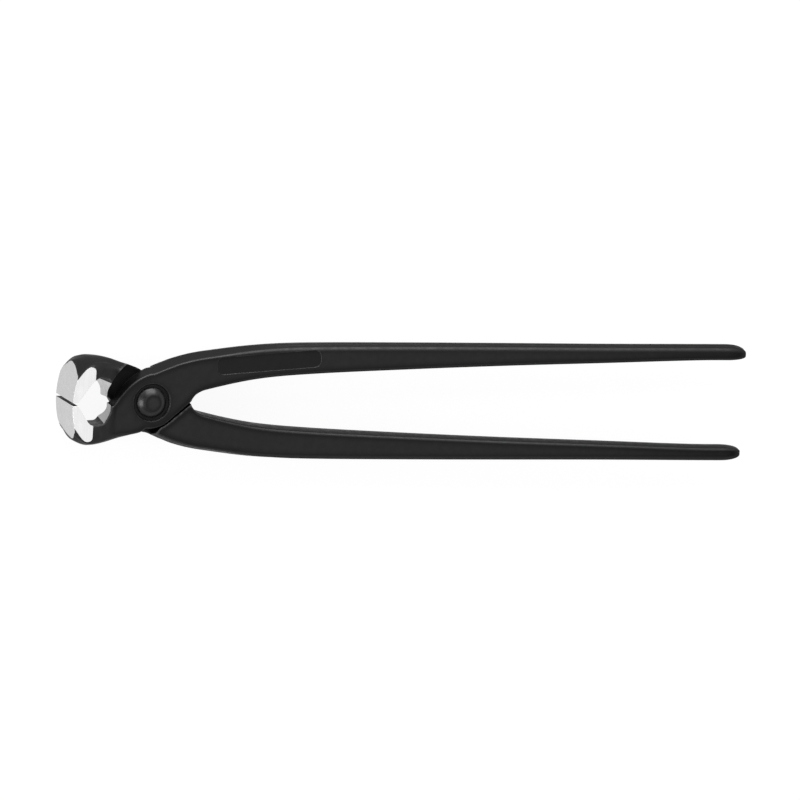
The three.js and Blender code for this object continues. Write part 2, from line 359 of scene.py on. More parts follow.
def smooth_shade(piece: bpy.types.Object, sharp_degrees: float) -> None:
    """Shades a piece smooth, with flat faces kept flat and real edges kept sharp.

    Args:
        piece: Object to shade.
        sharp_degrees: Angle between faces above which an edge stays sharp.
    """
    mesh = piece.data
    mesh.polygons.foreach_set("use_smooth", [True] * len(mesh.polygons))
    mesh.set_sharp_from_angle(angle=math.radians(sharp_degrees))
    weighted = piece.modifiers.new("even_normals", "WEIGHTED_NORMAL")
    weighted.keep_sharp = True
    weighted.weight = LARGE_FACE_WEIGHT


@dataclass(frozen=True)
class HandlePlace:
    """One place along a handle, in shares of the handle's reach, spread, depth and thickness."""

    reach: float
    edge: float
    depth: float
    thickness: float


HANDLE_PLACES = (
    HandlePlace(0.067, 0.802, 1.08, 1.0),
    HandlePlace(0.089, 0.843, 0.965, 0.95),
    HandlePlace(0.173, 0.95, 0.775, 0.72),
    HandlePlace(0.256, 0.987, 0.655, 0.5),
    HandlePlace(0.423, 1.0, 0.467, 0.25),
    HandlePlace(0.593, 1.0, 0.286, 0.12),
    HandlePlace(0.76, 0.996, 0.137, 0.05),
    HandlePlace(0.927, 1.0, 0.005, 0.0),
    HandlePlace(1.0, 1.0, 0.0, 0.0),
)

# Edge of a lap plate from the throat over to the handle, in shares of the plate's radius
PLATE_EDGE_SHARES: tuple[Point2, ...] = (
    (-3.437, 0.322), (-1.826, 0.322), (-1.525, -0.097), (-1.25, 0.232), (-0.889, 0.639),
    (-0.527, 0.954), (-0.158, 1.171), (0.032, 1.214), (0.215, 1.284), (0.435, 1.378),
    (0.657, 1.461), (0.88, 1.549), (1.111, 1.619), (1.353, 1.682),
)

# Back of a jaw from the front to the plate, in shares of the jaw's reach and half height
JAW_BACK_SHARES: tuple[Point2, ...] = (
    (-1.06, -0.61), (-1.0, -0.74), (-0.913, -0.872), (-0.841, -0.947), (-0.769, -0.994),
    (-0.7, -1.0), (-0.622, -0.99), (-0.549, -0.966), (-0.476, -0.931), (-0.403, -0.885),
    (-0.329, -0.837), (-0.257, -0.797), (-0.184, -0.747), (-0.112, -0.69), (-0.05, -0.601),
)

# Inner edge of a handle at the fork, in shares of the fork's reach
FORK_EDGE_SHARES: tuple[Point2, ...] = ((1.0, 0.0), (1.035, 0.075), (1.13, 0.185))

# End of a plate's round side, in shares of its radius
FLANK_SHARES: Point2 = (0.669, -0.743)

# End of the ground front across a jaw, in shares of the head's half width and the jaw's half height
BAND_END_SHARES: tuple[Point2, ...] = (
    (-1.2, -0.59), (-0.889, -0.637), (-0.533, -0.732), (-0.267, -0.789), (0.0, -0.823),
    (0.267, -0.839), (0.533, -0.789), (0.844, -0.665), (1.2, -0.5),
)


@dataclass(frozen=True)
class LeverSizes:
    """Sizes of one lever, in millimetres from the rivet's axis and the lap plane."""

    overall_length: float = 280.0
    jaw_reach: float = 34.0
    head_width: float = 22.5
    jaw_half_height: float = 17.75
    grip_half_spread: float = 23.2
    plate_radius: float = 10.8
    plate_thickness: float = 6.5
    lap_gap: float = 0.3
    edge_gap: float = 1.2
    closed_edge_gap: float = 0.2
    seam_clearance: float = 0.1
    root_depth: float = 15.2
    tip_depth: float = 6.1
    tip_thickness: float = 9.6
    outer_round: float = 2.3
    inner_round: float = 1.5
    tip_round: float = 7.5
    tip_tuck: float = 0.85
    plate_round: float = 0.9
    draft: float = 0.35
    root_crown: float = 1.4
    jaw_crown: float = 1.5
    outer_runout: float = 65.0
    inner_runout: float = 49.0
    crotch_reach: float = 16.2
    flare_reach: float = 14.0
    flare_length: float = 15.5
    forged_half_width: float = 12.35
    back_round: float = 3.0
    back_round_reach: float = 21.8
    nose_round: float = 6.4
    nose_crown: float = 2.1
    shoulder_radius: float = 18.8
    shoulder_slope: float = 2.0
    wedge_degrees: float = 68.0
    relief_degrees: float = 82.0
    wedge_radius: float = 13.0
    front_radius: float = 38.0
    front_skin: float = 0.12
    band_rise: float = 4.0
    land_depth: float = 2.2
    hollow_reach: float = 16.6
    hollow_half_height: float = 9.45
    hollow_draft: float = 0.97
    throat_half_height: float = 4.6
    throat_slope: float = 2.7
    crease_rise: float = 0.65
    crease_round_share: float = 0.2
    throat_round_share: float = 0.45
    milled_half_height: float = 7.9
    milled_depth: float = 0.05
    milled_run: float = 1.9
    bevel_depth: float = 4.4
    bevel_height: float = 6.4
    hollow_flat_share: float = 0.3
    shank_radius: float = 4.0
    bore_clearance: float = 0.3
    recess_radius: float = 7.2
    recess_depth: float = 1.1
    recess_lip: float = 0.4
    flash_half_width: float = 0.8
    flash_height: float = 0.12
    field_place: Point2 = (47.5, 16.2)
    field_length: float = 43.0
    field_height: float = 6.8
    field_corner: float = 2.6
    field_tilt_degrees: float = 4.5
    field_depth: float = 0.15
    overrun: float = 10.0

    @property
    def handle_reach(self) -> float:
        """Rivet to the end of the handle."""
        return self.overall_length - self.jaw_reach

    @property
    def head_half_width(self) -> float:
        """Lap plane to a ground cheek."""
        return self.head_width / 2

    @property
    def edge_x(self) -> float:
        """Where the flat of the cutting edge ends and the inner bevel starts."""
        return self.land_depth - self.jaw_reach


@dataclass(frozen=True)
class Fineness:
    """How many faces the long and round stretches of a lever get."""

    jaw: int = 70
    joint: int = 60
    handle: int = 110
    tip: int = 16
    edge_round: int = 8
    crown: int = 8
    band: int = 96
    face: int = 4
    arc: int = 72
    corner: int = 20
    crowding: float = 1.5


class Lever:
    """One forged, ground and milled lever: lower jaw, near lap plate and upper handle."""

    def __init__(self, sizes: LeverSizes, fineness: Fineness) -> None:
        """Fits the curves of the forging to its sizes.

        Args:
            sizes: Sizes in millimetres.
            fineness: Face counts.
        """
        self.sizes = sizes
        self.fineness = fineness
        s = sizes
        places = []
        for place in HANDLE_PLACES:
            outer = place.edge * s.grip_half_spread
            depth = mix(s.tip_depth, s.root_depth, place.depth)
            places.append((place.reach * s.handle_reach, outer, outer - depth))
        plate = [(x * s.plate_radius, y * s.plate_radius) for x, y in PLATE_EDGE_SHARES]
        fork = [(x * s.crotch_reach, y * s.crotch_reach) for x, y in FORK_EDGE_SHARES]
        back = [(x * s.jaw_reach, y * s.jaw_half_height) for x, y in JAW_BACK_SHARES]
        self.upper_edge = smooth_through(plate + [(x, outer) for x, outer, _ in places])
        self.inner_edge = smooth_through(fork + [(x, inner) for x, _, inner in places[1:]])
        self.jaw_back = smooth_through(back)
        self.band_end = smooth_through([
            (z * s.head_half_width, y * s.jaw_half_height) for z, y in BAND_END_SHARES
        ])
        self.handle_half = smooth_through([
            (place.reach * s.handle_reach, mix(s.tip_thickness / 2, s.plate_thickness, place.thickness))
            for place in HANDLE_PLACES
        ])
        self.flank_angle = math.atan2(FLANK_SHARES[1], FLANK_SHARES[0])
        self.round_end = JAW_BACK_SHARES[-1][0] * s.jaw_reach

    def lower_edge(self, x: float) -> float:
        """Lower outline: back of the jaw, round of the plate, flank, and inside of the handle.

        Args:
            x: Place along the tool.

        Returns:
            Height of the outline.
        """
        s = self.sizes
        flank_x = s.plate_radius * math.cos(self.flank_angle)
        flank_y = s.plate_radius * math.sin(self.flank_angle)
        if x > s.crotch_reach:
            return self.inner_edge(x)
        if x > flank_x:
            return mix(flank_y, 0.0, (x - flank_x) / (s.crotch_reach - flank_x))
        if x > self.round_end:
            return -math.sqrt(s.plate_radius ** 2 - x ** 2)
        return self.jaw_back(x)

    def half_thickness(self, x: float) -> float:
        """Lap plane to the side of the forging.

        Args:
            x: Place along the tool.

        Returns:
            Half thickness there.
        """
        s = self.sizes
        if x > -s.flare_reach:
            return self.handle_half(x)
        share = smoothstep(-x, s.flare_reach, s.flare_reach + s.flare_length)
        return mix(s.plate_thickness, s.forged_half_width, share)

    def upper_round(self, x: float) -> float:
        """Rounding of the upper long edges: slight on the plate, full on the handle.

        Args:
            x: Place along the tool.

        Returns:
            Radius of the rounding.
        """
        s = self.sizes
        return mix(s.plate_round, s.outer_round, smoothstep(x, s.crotch_reach, s.outer_runout))

    def nose_share(self, x: float) -> float:
        """Share of the nose's own form in a jaw, from none behind the bevel to all at the front.

        Args:
            x: Place along the tool.

        Returns:
            The share.
        """
        s = self.sizes
        return smoothstep(-x, s.jaw_reach - s.bevel_depth - s.land_depth, s.jaw_reach)

    def lower_round(self, x: float) -> float:
        """Rounding of the lower long edges, fullest where the back of the jaw meets its front.

        Args:
            x: Place along the tool.

        Returns:
            Radius of the rounding.
        """
        s = self.sizes
        if x > 0:
            return mix(s.plate_round, s.inner_round, smoothstep(x, s.crotch_reach, s.inner_runout))
        back = smoothstep(-x, -self.round_end, s.back_round_reach)
        return mix(mix(s.plate_round, s.back_round, back), s.nose_round, self.nose_share(x))

    def upper_fall(self, x: float) -> float:
        """Fall of the handle's outer edge from the parting line to its sides.

        Args:
            x: Place along the tool.

        Returns:
            The fall.
        """
        s = self.sizes
        rise = smoothstep(x, -s.plate_radius, -self.round_end)
        fade = smoothstep(x, s.crotch_reach, s.outer_runout)
        return mix(s.draft, s.root_crown, rise * (1 - fade))

    def lower_fall(self, x: float) -> float:
        """Fall of the back of the jaw from the parting line to its sides.

        Args:
            x: Place along the tool.

        Returns:
            The fall.
        """
        s = self.sizes
        crown = mix(s.draft, s.jaw_crown, smoothstep(-x, -self.round_end, s.flare_reach))
        return mix(crown, s.nose_crown, self.nose_share(x))

    def section(self, x: float, inset: float) -> list[Point3]:
        """Lays one cross-section of the forging.

        Args:
            x: Place along the tool.
            inset: Share of the edge roundings by which every side is drawn in, for the tip.

        Returns:
            The ring of points, from the upper parting line round.
        """
        s = self.sizes
        f = self.fineness
        top = self.upper_edge(x) - s.outer_round * inset
        bottom = self.lower_edge(x) + s.inner_round * inset
        half = self.half_thickness(x) - s.inner_round * inset
        tucked = 1 - s.tip_tuck * inset
        over = self.upper_round(x) * tucked
        under = self.lower_round(x) * tucked
        flash = s.flash_height * smoothstep(x, s.crotch_reach, s.inner_runout)
        shoulder = s.flash_half_width
        side: list[Point2] = [(top, 0.0), (top, shoulder), (top - flash, shoulder + flash)]
        fall = self.upper_fall(x)
        for i in range(1, f.face):
            share = i / f.face
            z = mix(shoulder + flash, half - over, share)
            side.append((top - flash - (fall - flash) * share, z))
        for i in range(f.edge_round + 1):
            turn = i / f.edge_round * math.pi / 2
            y = top - fall - over * (1 - math.cos(turn))
            side.append((y, half - over * (1 - math.sin(turn))))
        low = bottom + self.lower_fall(x) + under
        high = top - fall - over
        for i in range(1, f.face):
            side.append((mix(high, low, i / f.face), half))
        for i in range(f.edge_round + 1):
            turn = i / f.edge_round * math.pi / 2
            y = bottom + self.lower_fall(x) + under * (1 - math.sin(turn))
            side.append((y, half - under * (1 - math.cos(turn))))
        for i in range(f.crown - 1, 0, -1):
            share = i / f.crown
            side.append((bottom + self.lower_fall(x) * share ** 2, (half - under) * share))
        side.append((bottom, 0.0))
        back = [(y, -z) for y, z in reversed(side[1:-1])]
        return [(x, y, z) for y, z in side + back]

    def forging(self) -> Workpiece:
        """Lofts the forging before any of it is ground, milled or drilled.

        Returns:
            The blank.
        """
        s = self.sizes
        f = self.fineness
        nose = s.jaw_reach * JAW_BACK_SHARES[0][0]
        places = [mix(nose, -s.flare_reach, i / f.jaw) for i in range(f.jaw + 1)]
        places += [mix(-s.flare_reach, s.crotch_reach, i / f.joint) for i in range(1, f.joint + 1)]
        for i in range(1, f.handle + 1):
            share = (i / f.handle) ** f.crowding
            places.append(mix(s.crotch_reach, s.handle_reach - s.tip_round, share))
        rings = [self.section(x, 0.0) for x in places]
        for i in range(1, f.tip + 1):
            turn = i / f.tip * math.pi / 2
            x = s.handle_reach - s.tip_round * (1 - math.sin(turn))
            rings.append(self.section(x, 1 - math.cos(turn)))
        return Workpiece.lofted("forging", rings)

    def hollow_outline(self, grow: float) -> list[Point2]:
        """Lays the outline of the hollow behind both cutting edges.

        Args:
            grow: How much larger it is than at the lap plane.

        Returns:
            The outline.
        """
        s = self.sizes
        height = s.hollow_half_height + grow
        reach = s.hollow_reach - grow
        edge_y = s.edge_gap / 2
        bevel = (s.edge_x + s.bevel_depth, edge_y + s.bevel_height)
        meet_x = s.edge_x + s.bevel_depth * (height - edge_y) / s.bevel_height
        crease_x = -reach - s.throat_slope
        flat_x = mix(meet_x, crease_x, s.hollow_flat_share)
        steps = self.fineness.corner
        flat = (flat_x, -height)
        crease = (crease_x, s.crease_rise - height)
        throat = (-reach, -s.throat_half_height - grow)
        lower = [(s.edge_x, -edge_y)]
        lower += bend((bevel[0], -bevel[1]), (meet_x, -height), flat, steps)
        for before, corner, after, share in (
                (flat, crease, throat, s.crease_round_share),
                (crease, throat, (-reach, 0.0), s.throat_round_share)):
            start = tuple(mix(c, p, share) for c, p in zip(corner, before))
            end = tuple(mix(c, p, share) for c, p in zip(corner, after))
            lower += bend(start, corner, end, steps)
        upper = [(x, -y) for x, y in reversed(lower)]
        return lower + upper

    def hollow(self) -> Workpiece:
        """Shapes what the mill takes out behind the cutting edges.

        Returns:
            The cutter.
        """
        s = self.sizes
        reach = s.head_half_width + s.overrun
        rings = []
        for z in (-reach, reach):
            outline = self.hollow_outline(-s.hollow_draft * z / s.head_half_width)
            rings.append([(x, y, z) for x, y in outline])
        return Workpiece.lofted("hollow", rings)

    def throat_milling(self) -> Workpiece:
        """Shapes the light cut that brightens the bevels and the throat of the hollow.

        Returns:
            The cutter.
        """
        s = self.sizes
        reach = s.forged_half_width + s.milled_run
        edge_y = s.edge_gap / 2
        high = s.milled_half_height
        fall = s.hollow_half_height - s.crease_rise - s.throat_half_height
        slope = s.throat_slope / fall
        drop = fall * s.throat_round_share
        rings = []
        for z in (-reach, reach):
            grow = -s.hollow_draft * z / s.head_half_width
            throat_x = s.milled_depth - s.hollow_reach + grow
            throat_y = s.throat_half_height + grow
            rise = throat_y * s.throat_round_share
            start_x = s.edge_x - s.milled_depth
            lower = [
                (start_x, -edge_y), (start_x + s.bevel_depth, -edge_y - s.bevel_height),
                (throat_x - (high - throat_y) * slope, -high),
            ]
            lower += bend((throat_x - drop * slope, -throat_y - drop), (throat_x, -throat_y),
                          (throat_x, rise - throat_y), self.fineness.corner)
            upper = [(x, -y) for x, y in reversed(lower)]
            rings.append([(x, y, z) for x, y in lower + upper])
        return Workpiece.lofted("throat_milling", rings)

    def shoulder_floor(self) -> Workpiece:
        """Shapes a light cut over the open end of the lap face, which stays blacked like the sides.

        Returns:
            The cutter.
        """
        s = self.sizes
        wedge = math.radians(s.wedge_degrees)
        relief = math.radians(s.relief_degrees)
        start = (s.plate_radius * math.cos(wedge), s.plate_radius * math.sin(wedge))
        end = (s.wedge_radius * math.cos(relief), s.wedge_radius * math.sin(relief))
        far = s.jaw_half_height + s.overrun
        outline = [start, end, (end[0], far), (-s.plate_radius, far), (-s.plate_radius, start[1])]
        top = s.lap_gap / 2 + s.milled_depth
        return Workpiece.prism("shoulder_floor", outline, -s.milled_depth, top)

    def joint_pocket(self) -> Workpiece:
        """Shapes the space below the lap plane that the other plate fills and turns in.

        Returns:
            The cutter.
        """
        s = self.sizes
        closing = (s.edge_gap - s.closed_edge_gap) / s.jaw_reach
        shoulder = s.plate_radius + s.seam_clearance
        start = closing - self.flank_angle
        flank = Vector((shoulder * math.cos(start), shoulder * math.sin(start)))
        fork = Matrix.Rotation(closing, 2) @ Vector((s.crotch_reach + s.seam_clearance, 0.0))
        beyond = fork + (fork - flank).normalized() * s.overrun
        wedge = math.radians(s.wedge_degrees)
        relief = math.radians(s.relief_degrees)
        rings = []
        for z in (-s.forged_half_width - s.overrun, s.lap_gap / 2):
            radius = s.shoulder_radius - s.shoulder_slope * (s.plate_thickness + z) / s.plate_thickness
            outline = [tuple(beyond), tuple(fork)]
            outline += arc((0, 0), shoulder, start, wedge, self.fineness.arc)
            outline.append((s.wedge_radius * math.cos(relief), s.wedge_radius * math.sin(relief)))
            outline += arc((0, 0), radius, relief, 1.5 * math.pi, self.fineness.arc)
            outline.append((beyond.x, -radius))
            rings.append([(x, y, z) for x, y in outline])
        return Workpiece.lofted("joint_pocket", rings)

    def blade_clearance(self) -> Workpiece:
        """Shapes everything above the lower jaw's cutting edge.

        Returns:
            The cutter.
        """
        s = self.sizes
        nose = -s.jaw_reach - s.overrun
        low = -s.edge_gap / 2
        high = s.jaw_half_height + s.overrun
        outline = [(nose, low), (-s.hollow_reach, low), (-s.hollow_reach, high), (nose, high)]
        reach = s.forged_half_width + s.overrun
        return Workpiece.prism("blade_clearance", outline, -reach, reach)

    def front_forming(self) -> Workpiece:
        """Shapes what the die leaves free before the front of the forging.

        Returns:
            The cutter.
        """
        s = self.sizes
        height = s.jaw_half_height + s.overrun
        radius = s.front_radius + s.front_skin
        sweep = math.asin(height / radius)
        nose = -s.jaw_reach - s.overrun
        centre = (s.front_radius - s.jaw_reach, 0.0)
        outline = [(nose, -height), (nose, height)]
        outline += arc(centre, radius, math.pi - sweep, math.pi + sweep, self.fineness.arc)
        reach = s.forged_half_width + s.overrun
        return Workpiece.prism("front_forming", outline, -reach, reach)

    def front_grinding(self) -> Workpiece:
        """Shapes what the grinding wheel takes off the front, short of the back of the jaw.

        Returns:
            The cutter.
        """
        s = self.sizes
        reach = s.forged_half_width
        nose = -s.jaw_reach - s.overrun
        centre = (s.front_radius - s.jaw_reach, 0.0)
        start = math.pi - math.asin(s.band_rise / s.front_radius)
        rings = []
        for i in range(self.fineness.band + 1):
            z = mix(-reach, reach, i / self.fineness.band)
            end = self.band_end(z)
            turn = math.pi - math.asin(end / s.front_radius)
            outline = [(nose, end), (nose, s.band_rise)]
            outline += arc(centre, s.front_radius, start, turn, self.fineness.arc)
            rings.append([(x, y, z) for x, y in outline])
        return Workpiece.lofted("front_grinding", rings)

    def cheek_grinding(self, side: int) -> Workpiece:
        """Shapes what is ground off one cheek.

        Args:
            side: 1 for the upper cheek, -1 for the lower.

        Returns:
            The cutter.
        """
        s = self.sizes
        span = s.jaw_reach + s.overrun
        outline = [(-span, -span), (0.0, -span), (0.0, span), (-span, span)]
        heights = sorted((side * s.head_half_width, side * (s.head_half_width + s.overrun)))
        return Workpiece.prism("cheek_grinding", outline, heights[0], heights[1])

    def rivet_bore(self) -> Workpiece:
        """Shapes the bore for the shank and the recess for the rivet's head.

        Returns:
            The cutter.
        """
        s = self.sizes
        radius = s.shank_radius + s.bore_clearance
        floor = s.plate_thickness - s.recess_depth
        mouth = s.recess_radius + s.recess_lip
        reach = s.plate_thickness + s.overrun
        profile = [
            (0.0, -reach), (radius, -reach), (radius, floor), (s.recess_radius, floor),
            (s.recess_radius, s.plate_thickness - s.recess_lip), (mouth, s.plate_thickness),
            (mouth, reach), (0.0, reach),
        ]
        return Workpiece.turned("rivet_bore", profile, self.fineness.arc)

    def stamping_field(self) -> Workpiece:
        """Shapes the shallow pressed field on the side of the handle.

        Returns:
            The cutter.
        """
        s = self.sizes
        long = s.field_length / 2 - s.field_corner
        tall = s.field_height / 2 - s.field_corner
        steps = self.fineness.corner
        outline: list[Point2] = []
        for i, (x, y) in enumerate(((long, tall), (-long, tall), (-long, -tall), (long, -tall))):
            quarter = i * math.pi / 2
            outline += arc((x, y), s.field_corner, quarter, quarter + math.pi / 2, steps)
        turn = Matrix.Rotation(math.radians(s.field_tilt_degrees), 2)
        spots = [turn @ Vector(point) + Vector(s.field_place) for point in outline]
        floor = [(p.x, p.y, self.half_thickness(p.x) - s.field_depth) for p in spots]
        above = [(p.x, p.y, self.half_thickness(p.x) + s.overrun) for p in spots]
        return Workpiece.lofted("stamping_field", [floor, above])

    def build(self, name: str, slots: Sequence[bpy.types.Material]) -> bpy.types.Object:
        """Forges, grinds, mills and drills the lever.

        Args:
            name: Name of the piece.
            slots: Materials in the order of LeverFace.

        Returns:
            The lever, about the pivot at the origin.
        """
        lever = self.forging().build(LeverFace.FORGED, slots)
        lever.name = name
        cuts = [
            (self.blade_clearance(), LeverFace.FORGED), (self.hollow(), LeverFace.FORGED),
            (self.joint_pocket(), LeverFace.JOINT), (self.shoulder_floor(), LeverFace.FORGED),
            (self.front_forming(), LeverFace.FORGED), (self.front_grinding(), LeverFace.FRONT),
            (self.cheek_grinding(-1), LeverFace.CHEEK), (self.cheek_grinding(1), LeverFace.CHEEK),
            (self.throat_milling(), LeverFace.MILLED), (self.rivet_bore(), LeverFace.FIELD),
            (self.stamping_field(), LeverFace.FIELD),
        ]
        cutters = [shape.build(face, slots) for shape, face in cuts]
        machine(lever, cutters)
        lever.data.name = name
        LOG.info("%s has %d faces", name, len(lever.data.polygons))
        return lever


@dataclass(frozen=True)
class JointRivet:
    """The solid rivet through both plates, with a domed head and a pressed flat at each end."""

    shank_radius: float = 4.0
    head_radius: float = 6.0
    head_height: float = 2.5
    rim_height: float = 0.3
    flat_radius: float = 3.2
    seat: float = 5.7
    dome_in: float = 0.4
    dome_up: float = 0.75
    flat_edge: float = 0.25
    facets: int = 128
    dome_steps: int = 18

    def build(self, slots: Sequence[bpy.types.Material]) -> bpy.types.Object:
        """Turns the rivet.

        Args:
            slots: Materials in the order of LeverFace.

        Returns:
            The rivet, about the pivot at the origin.
        """
        rim = self.seat + self.rim_height
        top = self.seat + self.head_height
        corner = (mix(self.head_radius, self.flat_radius, self.dome_in), mix(rim, top, self.dome_up))
        dome = bend((self.head_radius, rim), corner, (self.flat_radius, top), self.dome_steps)
        half = [(self.shank_radius, self.seat), (self.head_radius, self.seat), *dome]
        half.append((self.flat_radius - self.flat_edge, top))
        lower = [(radius, -height) for radius, height in reversed(half)]
        profile = [(0.0, -top), *lower, *half, (0.0, top)]
        return Workpiece.turned("joint_rivet_steel", profile, self.facets).build(LeverFace.FORGED, slots)


Setting = bpy.types.NodeSocket | float | Sequence[float]


def add_node(tree: bpy.types.NodeTree, kind: str, settings: dict[str, object],
             inputs: dict[str | int, Setting]) -> bpy.types.Node:
    """Adds one node with its settings, constants and links.

    Args:
        tree: Tree that it goes into.
        kind: Blender's name for the node.
        settings: Attributes of the node.
        inputs: What each input holds: a constant, or the socket that feeds it.

    Returns:
        The node.
    """
    node = tree.nodes.new(kind)
    for name, value in settings.items():
        setattr(node, name, value)
    for name, value in inputs.items():
        if isinstance(value, bpy.types.NodeSocket):
            tree.links.new(value, node.inputs[name])
        else:
            node.inputs[name].default_value = value
    return node


# Maps values without a kink at either end
EASED = {"interpolation_type": "SMOOTHSTEP"}

# Noise that a seed can shift
SEEDED = {"noise_dimensions": "4D"}

# Looks from the skin into the steel, and gives less the nearer an outer edge is
INWARD = {"samples": 8, "inside": True, "only_local": True}


def stretch(span: Point2, out: Point2) -> dict[str, float]:
    """Gives the limits with which values are mapped from one span onto another.

    Args:
        span: First and last value taken in.
        out: What they become.

    Returns:
        The limits, by the name of the input that holds each.
    """
    return {"From Min": span[0], "From Max": span[1], "To Min": out[0], "To Max": out[1]}


def new_surface(name: str) -> bpy.types.Material:
    """Starts a node material with nothing in it.

    Args:
        name: Name of the material.

    Returns:
        The material.
    """
    material = bpy.data.materials.new(name)
    material.use_nodes = True
    material.node_tree.nodes.clear()
    return material


